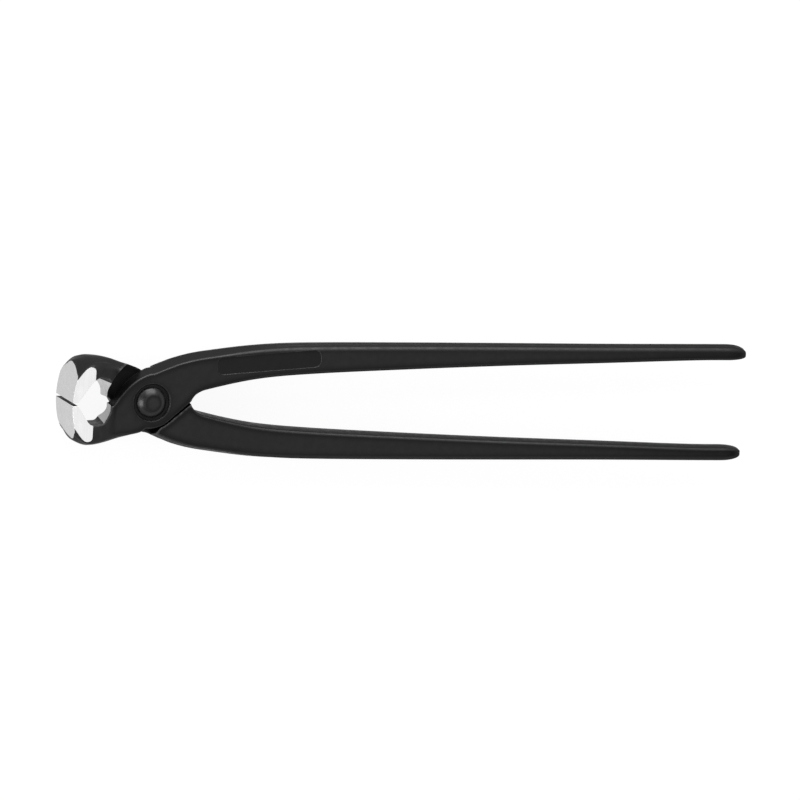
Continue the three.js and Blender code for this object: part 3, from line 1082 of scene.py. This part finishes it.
@dataclass(frozen=True)
class BlackedSteel:
    """Drop-forged carbon steel under a thin black oxide: dark, satin, paler where handling rubs it.
    Its tight edges also carry a painted highlight, and the borders of its flat sides painted shade.

    The real pits are finer than the picture can show, so they are drawn as coarse as they need to be.
    """

    name: str
    base: str = "#2b2b2b"
    # Paler steel of the tight outer edges: partly worn oxide, partly painted highlight
    rubbed_and_highlight: str = "#6a6a6a"
    # Black of the painted shade along the flat sides' borders and of the darker handle ends
    shade_and_tip_black: str = "#0c0c0c"
    cloud_depth: float = 0.72
    cloud_span: Point2 = (0.3, 0.7)
    cloud_share: float = 0.35
    metallic: float = 0.9
    glancing: str = "#b8b8b8"
    roughness: float = 0.4
    roughness_swing: float = 0.08
    swing_span: Point2 = (0.25, 0.75)
    pit_mm: float = 0.35
    pit_depth_mm: float = 0.012
    pit_strength: float = 0.6
    wave_mm: float = 7.0
    wave_depth_mm: float = 0.05
    wave_strength: float = 0.7
    smears_per_wave: float = 3.0
    edge_mm: float = 0.35
    # Tight outer edges are lightened, partly as wear and partly as a painted highlight
    wear_and_highlight_mm: float = 1.2
    worn_and_lit_span: Point2 = (0.88, 0.6)
    edge_wear_and_highlight: float = 0.5
    patch_span: Point2 = (0.35, 0.65)
    patch_least: float = 0.25
    # Painted shade along the borders of the flat sides
    shade_reach_mm: float = 3.5
    border_span: Point2 = (0.99, 0.75)
    flat_span: Point2 = (0.97, 0.995)
    edge_shade: float = 0.55
    # Darker towards the handles' ends
    tip_metres: Point2 = (0.04, 0.2)
    tip_darkening: float = 0.35
    seed: float = 1.0

    def painted_shade_and_tips(self, tree: bpy.types.NodeTree, place: bpy.types.NodeSocket) -> bpy.types.NodeSocket:
        """Darkens the borders of the flat sides as painted shade, and darkens the steel towards the
        handles' ends.

        Args:
            tree: Tree that it goes into.
            place: Coordinates in metres.

        Returns:
            Share of the deepest black.
        """
        normal = add_node(tree, "ShaderNodeTexCoord", {}, {}).outputs["Normal"]
        upright = add_node(tree, "ShaderNodeSeparateXYZ", {}, {"Vector": normal}).outputs["Z"]
        level = add_node(tree, "ShaderNodeMath", {"operation": "ABSOLUTE"}, {0: upright})
        flat = add_node(tree, "ShaderNodeMapRange", EASED, {
            "Value": level.outputs["Value"], **stretch(self.flat_span, (0.0, 1.0)),
        })
        near = add_node(tree, "ShaderNodeAmbientOcclusion", INWARD, {
            "Distance": self.shade_reach_mm * METRES,
        })
        border = add_node(tree, "ShaderNodeMapRange", EASED, {
            "Value": near.outputs["AO"], **stretch(self.border_span, (0.0, self.edge_shade)),
        })
        along = add_node(tree, "ShaderNodeSeparateXYZ", {}, {"Vector": place}).outputs["X"]
        tips = add_node(tree, "ShaderNodeMapRange", EASED, {
            "Value": along, **stretch(self.tip_metres, (0.0, self.tip_darkening)),
        })
        return add_node(tree, "ShaderNodeMath", {"operation": "MULTIPLY_ADD"}, {
            0: flat.outputs["Result"], 1: border.outputs["Result"], 2: tips.outputs["Result"],
        }).outputs["Value"]

    def wear_and_highlight(self, tree: bpy.types.NodeTree, smears: bpy.types.NodeSocket) -> bpy.types.NodeSocket:
        """Lightens the tight outer edges, in patches: partly oxide worn through, partly a painted
        highlight.

        Args:
            tree: Tree that it goes into.
            smears: Noise that the patches follow.

        Returns:
            Share of lightened steel, partly worn and partly painted highlight.
        """
        core = add_node(tree, "ShaderNodeAmbientOcclusion", INWARD, {
            "Distance": self.wear_and_highlight_mm * METRES,
        })
        edge = add_node(tree, "ShaderNodeMapRange", EASED, {
            "Value": core.outputs["AO"], **stretch(self.worn_and_lit_span, (0.0, self.edge_wear_and_highlight)),
        })
        patchy = add_node(tree, "ShaderNodeMapRange", EASED, {
            "Value": smears, **stretch(self.patch_span, (self.patch_least, 1.0)),
        })
        return add_node(tree, "ShaderNodeMath", {"operation": "MULTIPLY"}, {
            0: edge.outputs["Result"], 1: patchy.outputs["Result"],
        }).outputs["Value"]

    def build(self) -> bpy.types.Material:
        """Makes the material.

        Returns:
            The material.
        """
        material = new_surface(self.name)
        tree = material.node_tree
        place = add_node(tree, "ShaderNodeTexCoord", {}, {}).outputs["Object"]
        pits = add_node(tree, "ShaderNodeTexNoise", SEEDED, {
            "Vector": place, "W": self.seed, "Scale": per_metre(self.pit_mm), "Detail": 4.0,
        })
        waves = add_node(tree, "ShaderNodeTexNoise", SEEDED, {
            "Vector": place, "W": self.seed + 7, "Scale": per_metre(self.wave_mm), "Detail": 2.0,
        })
        smears = add_node(tree, "ShaderNodeTexNoise", SEEDED, {
            "Vector": place, "W": self.seed + 13, "Detail": 5.0,
            "Scale": per_metre(self.wave_mm / self.smears_per_wave),
        }).outputs["Fac"]
        clouds = add_node(tree, "ShaderNodeMapRange", EASED, {
            "Value": smears, **stretch(self.cloud_span, (0.0, self.cloud_share)),
        })
        base = linear(self.base)
        deep = (*(value * self.cloud_depth for value in base[:3]), 1.0)
        dark = add_node(tree, "ShaderNodeMix", {"data_type": "RGBA"}, {
            "Factor": clouds.outputs["Result"], 6: base, 7: deep,
        })
        # Painted shade along the borders of the flat sides, and darker steel towards the handles' ends
        shade_and_tip_black = add_node(tree, "ShaderNodeMix", {"data_type": "RGBA"}, {
            "Factor": self.painted_shade_and_tips(tree, place), 6: dark.outputs[2], 7: linear(self.shade_and_tip_black),
        })
        # Lightens the tight outer edges: partly worn oxide, partly painted highlight
        colour = add_node(tree, "ShaderNodeMix", {"data_type": "RGBA"}, {
            "Factor": self.wear_and_highlight(tree, smears), 6: shade_and_tip_black.outputs[2], 7: linear(self.rubbed_and_highlight),
        })
        swing = (self.roughness - self.roughness_swing, self.roughness + self.roughness_swing)
        rough = add_node(tree, "ShaderNodeMapRange", EASED, {
            "Value": smears, **stretch(self.swing_span, swing),
        })
        rounded = add_node(tree, "ShaderNodeBevel", {"samples": 6}, {"Radius": self.edge_mm * METRES})
        pitted = add_node(tree, "ShaderNodeBump", {}, {
            "Strength": self.pit_strength, "Distance": self.pit_depth_mm * METRES,
            "Height": pits.outputs["Fac"], "Normal": rounded.outputs["Normal"],
        })
        waved = add_node(tree, "ShaderNodeBump", {}, {
            "Strength": self.wave_strength, "Distance": self.wave_depth_mm * METRES,
            "Height": waves.outputs["Fac"], "Normal": pitted.outputs["Normal"],
        })
        shade = add_node(tree, "ShaderNodeBsdfPrincipled", {}, {
            "Base Color": colour.outputs[2], "Metallic": self.metallic,
            "Roughness": rough.outputs["Result"], "Specular Tint": linear(self.glancing),
            "Normal": waved.outputs["Normal"],
        })
        add_node(tree, "ShaderNodeOutputMaterial", {}, {"Surface": shade.outputs["BSDF"]})
        return material


@dataclass(frozen=True)
class GroundSteel:
    """Bare carbon steel off the grinding wheel: bright, with fine lines that run across the tool.

    The real lines are finer than the picture can show, so they are drawn as coarse as they need to be.
    """

    name: str
    base: str = "#f0f0f0"
    dull: str = "#e0e0e0"
    dull_span: Point2 = (0.3, 0.75)
    dull_share: float = 0.6
    roughness: float = 0.3
    rough_span: Point2 = (0.3, 0.7)
    rough_less: float = 0.05
    rough_more: float = 0.07
    line_mm: float = 0.16
    line_length_mm: float = 14.0
    line_depth_mm: float = 0.004
    line_strength: float = 0.5
    cloud_mm: float = 4.0
    edge_mm: float = 0.12
    seed: float = 1.0

    def build(self) -> bpy.types.Material:
        """Makes the material.

        Returns:
            The material.
        """
        material = new_surface(self.name)
        tree = material.node_tree
        place = add_node(tree, "ShaderNodeTexCoord", {}, {}).outputs["Object"]
        # Noise drawn out along Y, in the direction the steel passed the wheel
        drawn = add_node(tree, "ShaderNodeMapping", {}, {
            "Vector": place,
            "Scale": (1.0, self.line_mm / self.line_length_mm, 1.0),
        })
        lines = add_node(tree, "ShaderNodeTexNoise", SEEDED, {
            "Vector": drawn.outputs["Vector"], "W": self.seed,
            "Scale": per_metre(self.line_mm), "Detail": 3.0,
        }).outputs["Fac"]
        clouds = add_node(tree, "ShaderNodeTexNoise", SEEDED, {
            "Vector": place, "W": self.seed + 5, "Scale": per_metre(self.cloud_mm), "Detail": 3.0,
        }).outputs["Fac"]
        dulled = add_node(tree, "ShaderNodeMapRange", EASED, {
            "Value": lines, **stretch(self.dull_span, (0.0, self.dull_share)),
        })
        colour = add_node(tree, "ShaderNodeMix", {"data_type": "RGBA"}, {
            "Factor": dulled.outputs["Result"], 6: linear(self.base), 7: linear(self.dull),
        })
        swing = (self.roughness - self.rough_less, self.roughness + self.rough_more)
        rough = add_node(tree, "ShaderNodeMapRange", EASED, {
            "Value": clouds, **stretch(self.rough_span, swing),
        })
        rounded = add_node(tree, "ShaderNodeBevel", {"samples": 4}, {"Radius": self.edge_mm * METRES})
        scored = add_node(tree, "ShaderNodeBump", {}, {
            "Strength": self.line_strength, "Distance": self.line_depth_mm * METRES,
            "Height": lines, "Normal": rounded.outputs["Normal"],
        })
        shade = add_node(tree, "ShaderNodeBsdfPrincipled", {}, {
            "Base Color": colour.outputs[2], "Metallic": 1.0,
            "Roughness": rough.outputs["Result"], "Normal": scored.outputs["Normal"],
        })
        add_node(tree, "ShaderNodeOutputMaterial", {}, {"Surface": shade.outputs["BSDF"]})
        return material


@dataclass(frozen=True)
class StudioFloor:
    """Matt white paper that the tool lies on, lit through from below, which thins its shadows."""

    half_side: float = 4.0
    colour: str = "#f4f4f4"
    fibre: str = "#f8f8f8"
    fibre_mm: float = 0.6
    roughness: float = 0.95
    lit_through: float = 0.92

    def build(self) -> bpy.types.Object:
        """Lays the paper on the plane of the lower cheeks.

        Returns:
            The floor.
        """
        mesh = bpy.data.meshes.new("floor")
        s = self.half_side
        mesh.from_pydata([(-s, -s, 0.0), (s, -s, 0.0), (s, s, 0.0), (-s, s, 0.0)], [], [(0, 1, 2, 3)])
        mesh.materials.append(self.paper())
        floor = bpy.data.objects.new("floor", mesh)
        bpy.context.scene.collection.objects.link(floor)
        return floor

    def paper(self) -> bpy.types.Material:
        """Makes the paper.

        Returns:
            The material.
        """
        material = new_surface("floor_paper")
        tree = material.node_tree
        place = add_node(tree, "ShaderNodeTexCoord", {}, {}).outputs["Object"]
        fibres = add_node(tree, "ShaderNodeTexNoise", SEEDED, {
            "Vector": place, "W": 3.0, "Scale": per_metre(self.fibre_mm), "Detail": 3.0,
        })
        tint = add_node(tree, "ShaderNodeMix", {"data_type": "RGBA"}, {
            "Factor": fibres.outputs["Fac"], 6: linear(self.colour), 7: linear(self.fibre),
        })
        matt = add_node(tree, "ShaderNodeBsdfPrincipled", {}, {
            "Base Color": tint.outputs[2], "Roughness": self.roughness, "Specular IOR Level": 0.0,
        })
        glow = add_node(tree, "ShaderNodeEmission", {}, {"Color": linear("#ffffff"), "Strength": 1.0})
        path = add_node(tree, "ShaderNodeLightPath", {}, {})
        seen = add_node(tree, "ShaderNodeMath", {"operation": "MAXIMUM"}, {
            0: path.outputs["Is Camera Ray"], 1: path.outputs["Is Glossy Ray"],
        })
        share = add_node(tree, "ShaderNodeMath", {"operation": "MULTIPLY"}, {
            0: seen.outputs["Value"], 1: self.lit_through,
        })
        shade = add_node(tree, "ShaderNodeMixShader", {}, {
            0: share.outputs["Value"], 1: matt.outputs["BSDF"], 2: glow.outputs["Emission"],
        })
        add_node(tree, "ShaderNodeOutputMaterial", {}, {"Surface": shade.outputs["Shader"]})
        return material


@dataclass(frozen=True)
class SoftBox:
    """One soft studio light that faces the tool."""

    name: str
    place: Point3
    size: float
    watts: float

    def build(self, aim: Vector) -> bpy.types.Object:
        """Hangs the light.

        Args:
            aim: Point that it faces, in metres.

        Returns:
            The light.
        """
        light = bpy.data.lights.new(self.name, "AREA")
        light.shape = "SQUARE"
        light.size = self.size
        light.energy = self.watts
        made = bpy.data.objects.new(self.name, light)
        made.location = self.place
        made.rotation_euler = (aim - Vector(self.place)).to_track_quat("-Z", "Y").to_euler()
        bpy.context.scene.collection.objects.link(made)
        return made


@dataclass(frozen=True)
class Studio:
    """Room, camera, lights and floor. The camera looks down on the tool through a long lens.

    The scale is in pixels of the picture for a millimetre across the line of sight.
    """

    scale: float = 2.55
    pivot_pixel: Point2 = (147.2, 399.8)
    right: Point3 = (0.949, 0.057, 0.309)
    up: Point3 = (0.0, 0.983, -0.182)
    roll_degrees: float = 0.25
    distance: float = 10.0
    clip_reach: float = 3.0
    picture: int = 800
    sensor: float = 36.0
    wall_light: float = 1.3
    slope_light: float = 0.45
    ceiling_light: float = 1.1
    wall_end: Point2 = (0.42, 0.66)
    ceiling_start: Point2 = (0.78, 0.92)
    boxes: tuple[SoftBox, ...] = (
        SoftBox("key_box", (-0.05, 1.4, 0.7), 1.4, 34.0),
        SoftBox("side_box", (-1.35, -0.25, 0.75), 0.9, 16.0),
    )

    def camera(self) -> bpy.types.Object:
        """Places the camera so that the rivet falls on its own pixel at the tool's scale.

        Returns:
            The camera.
        """
        right = Vector(self.right).normalized()
        back = right.cross(Vector(self.up)).normalized()
        up = back.cross(right).normalized()
        turn = Matrix.Rotation(math.radians(self.roll_degrees), 3, back)
        right, up = turn @ right, turn @ up
        centre = self.picture / 2
        aside = (centre - self.pivot_pixel[0]) / self.scale * METRES
        above = (self.pivot_pixel[1] - centre) / self.scale * METRES
        aim = PIVOT + right * aside + up * above
        lens = bpy.data.cameras.new("long_lens")
        lens.sensor_width = self.sensor
        lens.lens = self.scale * self.distance / METRES * self.sensor / self.picture
        lens.clip_end = self.distance * self.clip_reach
        made = bpy.data.objects.new("camera", lens)
        made.matrix_world = Matrix.Translation(aim + back * self.distance) @ Matrix(
            (right, up, back)).transposed().to_4x4()
        bpy.context.scene.collection.objects.link(made)
        bpy.context.scene.camera = made
        return made

    def room(self) -> bpy.types.World:
        """Makes the white walls, the darker slope of the roof and the lit ceiling.

        Returns:
            The world.
        """
        world = bpy.data.worlds.new("white_room")
        world.use_nodes = True
        tree = world.node_tree
        tree.nodes.clear()
        facing = add_node(tree, "ShaderNodeTexCoord", {}, {}).outputs["Generated"]
        height = add_node(tree, "ShaderNodeSeparateXYZ", {}, {"Vector": facing}).outputs["Z"]
        low = add_node(tree, "ShaderNodeMapRange", EASED, {
            "Value": height, **stretch(self.wall_end, (self.wall_light, self.slope_light)),
        })
        high = add_node(tree, "ShaderNodeMapRange", EASED, {
            "Value": height,
            **stretch(self.ceiling_start, (0.0, self.ceiling_light - self.slope_light)),
        })
        level = add_node(tree, "ShaderNodeMath", {"operation": "ADD"}, {
            0: low.outputs["Result"], 1: high.outputs["Result"],
        })
        glow = add_node(tree, "ShaderNodeBackground", {}, {
            "Color": linear("#ffffff"), "Strength": level.outputs["Value"],
        })
        add_node(tree, "ShaderNodeOutputWorld", {}, {"Surface": glow.outputs["Background"]})
        return world

    def build(self) -> None:
        """Sets up the room, camera, lights and floor."""
        scene = bpy.context.scene
        scene.view_settings.view_transform = "Standard"
        scene.world = self.room()
        self.camera()
        for box in self.boxes:
            box.build(PIVOT)
        StudioFloor().build()


@dataclass(frozen=True)
class Pincers:
    """The whole tool: two levers of one form and the rivet that they turn on.

    Each piece has its own seed, so no two carry the same marks. The milled steel is one finish in
    two painted tones: darker as painted shade in the top lever, which holds the lower jaw, lighter as
    painted light in the bottom lever.
    """

    lever: Lever = Lever(LeverSizes(), Fineness())
    rivet: JointRivet = JointRivet()
    sharp_degrees: float = 32.0
    top_seed: float = 11.0
    bottom_seed: float = 41.0
    rivet_seed: float = 71.0
    # One milled finish, painted in a shaded tone for the top lever's hollow and a lit tone for the
    # bottom lever's
    shaded_top_milled: str = "#747474"
    lit_bottom_milled: str = "#c4c4c4"

    def finishes(self, seed: float, milled: str) -> list[bpy.types.Material]:
        """Makes the materials of one lever.

        Args:
            seed: Shift of its patterns.
            milled: Colour of its milled steel, a tone painted for the light on its hollow.

        Returns:
            Materials in the order of LeverFace.
        """
        tag = f"{seed:.0f}"
        return [
            BlackedSteel("blacked_forging_" + tag, seed=seed).build(),
            # The front and the cheeks are one ground steel in two painted tones: the front darker as
            # painted shade, the cheeks lighter as painted light
            GroundSteel("ground_front_" + tag, base="#c4c4c4", dull="#aeaeae", seed=seed).build(),
            GroundSteel("ground_cheeks_" + tag, seed=seed + 1).build(),
            GroundSteel("milled_steel_" + tag, base=milled, dull="#8a8a8a", roughness=0.22,
                        line_mm=0.3, line_length_mm=9.0, seed=seed + 2).build(),
            # Darker than the forged skin: partly the joint's own oily black, partly painted shade in the
            # pocket
            BlackedSteel("shaded_blacked_joint_" + tag, base="#181818", roughness=0.45, edge_wear_and_highlight=0.2,
                         seed=seed + 4).build(),
            # A little darker than the forged skin: the pressed field's own tone, and painted shade in
            # the rivet's recess
            BlackedSteel("blacked_field_" + tag, base="#242424", roughness=0.45, edge_wear_and_highlight=0.35,
                         seed=seed + 6).build(),
        ]

    def place(self, piece: bpy.types.Object, turned: bool, node: str, body: Body, slot: str) -> None:
        """Puts a finished piece in the tool and ties it to its body.

        Args:
            piece: Piece about the pivot at the origin.
            turned: True for the lever that is turned half round about the tool's length.
            node: CAD node that it stands for.
            body: Body that it moves with.
            slot: Material slot in the record. Not used.
        """
        turn = Matrix.Rotation(math.pi if turned else 0.0, 4, "X")
        piece.data.transform(Matrix.Translation(PIVOT) @ turn)
        trim_slivers(piece.data)
        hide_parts(node)
        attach(piece, body.value)
        LOG.info("%s placed on the body %s", piece.name, body.value)

    def build(self) -> None:
        """Makes, finishes and places the pieces."""
        top_steel = self.finishes(self.top_seed, self.shaded_top_milled)
        bottom_steel = self.finishes(self.bottom_seed, self.lit_bottom_milled)
        top = self.lever.build("top_lever_steel", top_steel)
        bottom = self.lever.build("bottom_lever_steel", bottom_steel)
        rivet_steel = BlackedSteel("blacked_rivet", base="#2f2f2f", roughness=0.3, pit_depth_mm=0.006,
                                   wave_depth_mm=0.0, edge_wear_and_highlight=0.2, seed=self.rivet_seed).build()
        rivet = self.rivet.build([rivet_steel])
        for piece in (top, bottom, rivet):
            smooth_shade(piece, self.sharp_degrees)
        self.place(top, False, "top_lever", Body.TOP, "black_steel")
        self.place(bottom, True, "bottom_lever", Body.BOTTOM, "black_steel")
        self.place(rivet, False, "joint_rivet", Body.BOTTOM, "rivet_steel")


def main() -> None:
    """Builds the studio and the tool."""
    logging.basicConfig(level=logging.INFO, format="%(message)s")
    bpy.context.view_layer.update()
    Studio().build()
    LOG.info("studio set")
    Pincers().build()
    LOG.info("pincers built")


if __name__ == "__main__":
    main()
